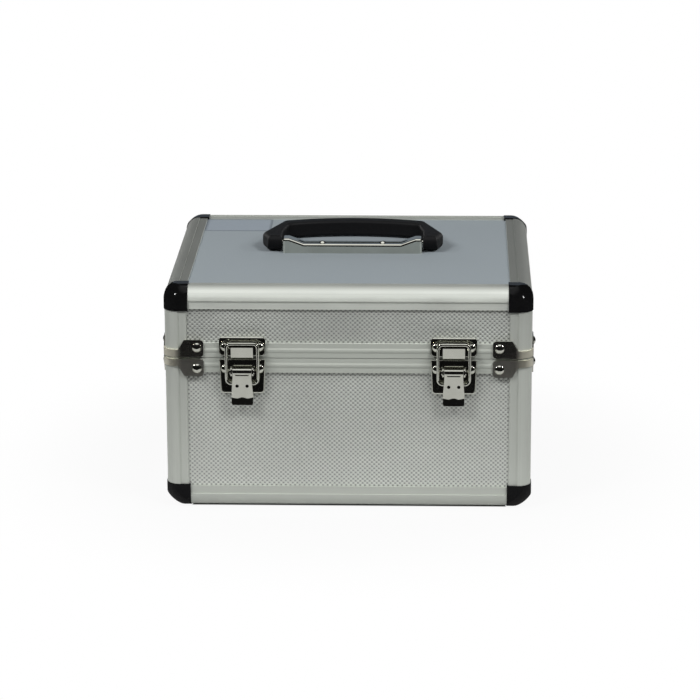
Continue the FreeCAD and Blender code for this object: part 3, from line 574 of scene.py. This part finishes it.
def relief_faces(rows, points):
    """Triangles between closed rows of points, split along the slopes of every top and hollow."""
    near, far, far_ahead, near_ahead = grid_corners(rows, points)
    row, point = np.indices(near.shape)
    rising = ((row + point) % 2 == 0)[:, :, None]
    rising_first = np.stack([near, far, far_ahead], -1)
    rising_second = np.stack([near, far_ahead, near_ahead], -1)
    falling_first = np.stack([near, far, near_ahead], -1)
    falling_second = np.stack([far, far_ahead, near_ahead], -1)
    first = np.where(rising, rising_first, falling_first)
    second = np.where(rising, rising_second, falling_second)
    return np.concatenate([first, second]).reshape(-1, 3).tolist()


def emboss_depths(count_along, count_up):
    """Depth below the outer plane: half the emboss depth times one less the product of two cosines.

    One cosine runs along the wall and one up it, so tops and hollows alternate both ways. Edges stay flat.
    """
    turn = 2 * math.pi / emboss_steps
    waves_along = np.cos(turn * np.arange(count_along + 1))
    waves_up = np.cos(turn * np.arange(count_up + 1))
    depth = emboss_depth / 2 * (1 - waves_along[:, None] * waves_up[None, :])
    depth[[0, -1], :] = 0
    depth[:, [0, -1]] = 0
    return depth


def embossed_panel(node, body, across, outward):
    """Wall panel with a quincunx of rounded pyramids.

    Each row of points goes up the outer face, lowered by the emboss depth, and back down the plain inner
    face. Rows follow each other along the wall.
    """
    low, high = (np.array(corner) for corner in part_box(node))
    along = 1 - across
    count_along = emboss_steps * round((high[along] - low[along]) / emboss_pitch_along)
    count_up = emboss_steps * round((high[2] - low[2]) / emboss_pitch_up)
    depth = emboss_depths(count_along, count_up)
    outer, inner = (high, low) if outward > 0 else (low, high)
    heights = np.linspace(low[2], high[2], count_up + 1)
    points = np.zeros((count_along + 1, count_up + 3, 3))
    points[:, :, along] = np.linspace(low[along], high[along], count_along + 1)[:, None]
    points[:, :, 2] = np.concatenate([heights, heights[[-1, 0]]])
    points[:, :-2, across] = outer[across] - outward * depth
    points[:, -2:, across] = inner[across]
    # relief, 1 on the tops and 0 in the hollows, sets where the sheet's painted shade goes.
    relief = np.ones(points.shape[:2])
    relief[:, :-2] = 1 - depth / emboss_depth
    if (across == 1) == (outward > 0):
        points = points[::-1]
        relief = relief[::-1]
    faces = relief_faces(*relief.shape) + end_faces(*relief.shape)
    piece = new_piece(f"{node}_sheet", body, sheet, points, faces, [node])
    carry_number(piece, "relief", relief)


def bare_label():
    """Thin label in the back left corner of the lid's panel.

    The outline goes round four quarter circles, one about each corner's centre. It is carried from the
    panel's face up to the label's thickness and then inwards by the width of the border.
    """
    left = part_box("top_left_edge")[1][0] + label_gap
    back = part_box("top_back_edge")[0][1] - label_gap
    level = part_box("top_panel")[1][2]
    half_step = math.pi / label_points
    turn = np.linspace(0, 2 * math.pi, label_points, endpoint=False) + half_step
    side = np.sign(np.cos(turn))
    end = np.sign(np.sin(turn))
    across = label_corner * np.cos(turn) + side * (label_length / 2 - label_corner)
    along = label_corner * np.sin(turn) + end * (label_width / 2 - label_corner)
    inset = np.array([[0.0], [0.0], [label_border]])
    points = np.zeros((inset.size, turn.size, 3))
    points[:, :, 0] = left + label_length / 2 + across - inset * side
    points[:, :, 1] = back - label_width / 2 + along - inset * end
    points[:, :, 2] = level + np.array([[0.0], [label_thickness], [label_thickness]])
    faces = ring_faces(*points.shape[:2]) + end_faces(*points.shape[:2])
    piece = new_piece("bare_label", "lid", paper, points, faces)
    carry_number(piece, "border", np.repeat(1 - inset / label_border, turn.size))


# Frame, panels and hardware
edge_bars = {
    "top_front": bar_front,
    "top_back": bar_back,
    "bottom_front": bar_low,
    "bottom_back": bar_low,
}
for part, level, cap_finish, clip_finish in (
    ("base", "bottom", grip_black, base_clip_plate),
    ("lid", "top", cap_black, lid_clip_plate),
):
    for side in ("front", "back", "left", "right"):
        across = 1 if side in ("front", "back") else 0
        outward = 1 if side in ("back", "right") else -1
        paint(edge_bars.get(f"{level}_{side}", bar_deep), f"{level}_{side}_edge")
        paint(rim_across if across else bar_deep, f"{part}_{side}_rim")
        embossed_panel(f"{part}_{side}_panel", part, across, outward)
    paint(bar_upright, f"{part}_corner_posts")
    paint(cap_finish, f"{level}_corner_caps")
    paint(clip_finish, f"{part}_corner_clips")
    paint(plate, f"{part}_clip_rivets")
    paint(felt, f"{part}_liner")
paint(foil, "top_panel")
bare_label()
paint(board, "bottom_panel")
for side in ("left", "right"):
    for piece in ("catch_plate", "latch_plate", "lever", "lever_pin", "bail"):
        paint(plate, f"{side}_{piece}")
paint(plate, "latch_plate_rivets", "catch_plate_rivets")
for piece in ("lower_leaves", "upper_leaves", "pins", "lower_rivets", "upper_rivets"):
    paint(plate, f"hinge_{piece}")
paint(plate, "handle_bracket", "handle_bracket_rivets", "handle_pivot_pins")
paint(grip_black, "handle_grip")


# Studio


def show_in_mirrors(thing):
    """Hides a piece of the studio from all but mirror-like surfaces."""
    thing.visible_camera = False
    thing.visible_diffuse = False
    thing.visible_shadow = False
    thing.visible_transmission = False


def seen_directly(tree, mirror_share=1.0):
    """1 for rays that look straight at a surface, mirror_share for mirror or glass rays, else 0."""
    path = tree.nodes.new("ShaderNodeLightPath")
    seen = path.outputs["Is Camera Ray"]
    for other in ("Is Glossy Ray", "Is Transmission Ray"):
        weaker = maths(tree, "MULTIPLY", path.outputs[other], mirror_share)
        seen = maths(tree, "MAXIMUM", seen, weaker)
    return seen


def mix_shaders(tree, share, first, second, target):
    """Shows share of the second shader and the rest of the first."""
    mix = add_node(tree, "ShaderNodeMixShader", {"Fac": share, 1: first, 2: second})
    tree.links.new(mix.outputs["Shader"], target)


def floor_glow(tree):
    """Share of pure white on the floor: a little less near the case, for its shadow, and none below it."""
    front_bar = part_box("bottom_front_edge")
    footprint = (1 / front_bar[1][0], 1 / (front_bar[0][1] + contact_inset), 0.0)
    place = surface(tree, "Object")
    distance = add_node(tree, "ShaderNodeVectorMath", {0: place}, "LENGTH").outputs["Value"]
    shadow_span = (shadow_near, shadow_far)
    around = between(tree, distance, shadow_span, (1 - floor_shadow_share, 1.0), "SMOOTHSTEP")
    scaled = vector_maths(tree, "ABSOLUTE", vector_maths(tree, "MULTIPLY", place, footprint))
    reach = split(tree, scaled)
    farther = maths(tree, "MAXIMUM", reach["X"], reach["Y"])
    outside = between(tree, farther, (contact_edge, 1.0))
    seen = seen_directly(tree, floor_mirror_share)
    return maths(tree, "MULTIPLY", maths(tree, "MULTIPLY", seen, around), outside)


def white_floor():
    """Pale floor that looks white but keeps part of the case's shadow around it and all of it below."""
    tone = (floor_tone, floor_tone, floor_tone, 1.0)
    material, tree, pale = new_material("white_floor", {"Base Color": tone, "Roughness": floor_roughness})
    white = tree.nodes.new("ShaderNodeEmission").outputs["Emission"]
    shown = tree.nodes["Material Output"].inputs["Surface"]
    mix_shaders(tree, floor_glow(tree), pale.outputs["BSDF"], white, shown)
    return material


def glowing_cloth(name):
    """A material that only shines, and the socket of the colour that it shines in."""
    material = bpy.data.materials.new(name)
    material.use_nodes = True
    tree = material.node_tree
    tree.nodes.remove(tree.nodes["Principled BSDF"])
    shine = tree.nodes.new("ShaderNodeEmission")
    tree.links.new(shine.outputs["Emission"], tree.nodes["Material Output"].inputs["Surface"])
    return material, shine.inputs["Color"]


def tent_cloth():
    """Cloth that only mirror-like surfaces see: nearly black up to a pale crown."""
    material, colour = glowing_cloth("tent_cloth")
    tree = material.node_tree
    height = maths(tree, "DIVIDE", split(tree, surface(tree, "Object"))["Z"], tent_radius)
    ramp = add_node(tree, "ShaderNodeValToRGB", {"Fac": height})
    stops = ramp.color_ramp.elements
    for further in tent_glows[len(stops):]:
        stops.new(further[0])
    for stop, (level, glow) in zip(stops, tent_glows):
        stop.position = level
        stop.color = (glow, glow, glow, 1.0)
    tree.links.new(ramp.outputs["Color"], colour)
    return material


def studio_tent():
    """Dome about the upright axis: a floor ring outwards from the opening, then a quarter circle up."""
    rise = np.linspace(0, math.pi / 2, tent_rings)
    reach = tent_radius * np.cos(rise)
    reach_x = np.concatenate([tent_opening[:1], reach])[:, None]
    reach_y = np.concatenate([tent_opening[1:], reach])[:, None]
    height = np.concatenate([[0], tent_radius * np.sin(rise)])[:, None] + tent_lift
    turn = np.linspace(0, 2 * math.pi, tent_steps, endpoint=False)
    flat = np.ones_like(turn)
    points = np.stack([reach_x * np.cos(turn), reach_y * np.sin(turn), height * flat], axis=-1)
    tent = add_mesh("studio_tent", points, ring_faces(*points.shape[:2]), tent_cloth())
    show_in_mirrors(tent)


def grey_card():
    """Dim upright card behind the case, which upward faces of plated pieces mirror."""
    material, colour = glowing_cloth("grey_card")
    colour.default_value = (*card_tone, 1.0)
    low, high = card_heights
    points = np.array([
        (-card_half_width, card_distance, low),
        (card_half_width, card_distance, low),
        (card_half_width, card_distance, high),
        (-card_half_width, card_distance, high),
    ])
    card = add_mesh("grey_card", points, [(0, 1, 2, 3)], material)
    show_in_mirrors(card)


def studio_floor():
    """Flat square floor about the case."""
    corners = np.array([(-1, -1, 0), (1, -1, 0), (1, 1, 0), (-1, 1, 0)])
    floor = add_mesh("floor", floor_size / 2 * corners, [(0, 1, 2, 3)], white_floor())


def light_world():
    """White surroundings to look at, with a weaker even light from them."""
    pure_white = (1.0, 1.0, 1.0, 1.0)
    world = bpy.data.worlds.new("studio")
    bpy.context.scene.world = world
    world.use_nodes = True
    tree = world.node_tree
    even = tree.nodes["Background"]
    fill_inputs(tree, even, {"Color": pure_white, "Strength": ambient})
    white = add_node(tree, "ShaderNodeBackground", {"Color": pure_white}).outputs["Background"]
    shown = tree.nodes["World Output"].inputs["Surface"]
    mix_shaders(tree, seen_directly(tree), even.outputs["Background"], white, shown)


def softbox(name, place, size, watts, screened=None):
    """Area lamp, size wide and high, aimed at the case and screened from a collection of pieces."""
    lamp = bpy.data.lights.new(name, "AREA")
    lamp.shape = "RECTANGLE"
    lamp.size, lamp.size_y = size
    lamp.energy = watts
    holder = bpy.data.objects.new(name, lamp)
    holder.location = place
    aim = Vector((0.0, 0.0, (cad_box[0][2] + cad_box[1][2]) / 2)) - place
    holder.rotation_euler = aim.to_track_quat("-Z", "Y").to_euler()
    bpy.context.scene.collection.objects.link(holder)
    if screened:
        holder.light_linking.receiver_collection = screened
        for entry in screened.collection_objects:
            entry.light_linking.link_state = "EXCLUDE"


def add_camera():
    """Camera at the measured place, turned by its yaw, pitch and roll."""
    forward = Vector((
        math.sin(camera_yaw) * math.cos(camera_pitch),
        math.cos(camera_yaw) * math.cos(camera_pitch),
        -math.sin(camera_pitch),
    ))
    level = Vector((math.cos(camera_yaw), -math.sin(camera_yaw), 0.0))
    upright = level.cross(forward)
    right = level * math.cos(camera_roll) + upright * math.sin(camera_roll)
    up = upright * math.cos(camera_roll) - level * math.sin(camera_roll)
    turned = Matrix((right, up, -forward)).transposed().to_4x4()
    lens = bpy.data.cameras.new("camera")
    lens.sensor_fit = "HORIZONTAL"
    lens.sensor_width = sensor_width
    lens.lens = sensor_width * focal_pixels / image_pixels
    camera = bpy.data.objects.new("camera", lens)
    camera.matrix_world = Matrix.Translation(camera_place) @ turned
    bpy.context.scene.collection.objects.link(camera)
    bpy.context.scene.camera = camera


studio_floor()
studio_tent()
grey_card()
light_world()
for key_place in key_places:
    softbox("key", key_place, key_size, key_watts, mirror_pieces)
for fill_place in fill_places:
    softbox("fill", fill_place, fill_size, fill_watts, mirror_pieces)
softbox("left_spot", left_place, spot_size, spot_watts)
softbox("right_spot", right_place, spot_size, spot_watts)
add_camera()
bpy.context.scene.view_settings.view_transform = "Standard"
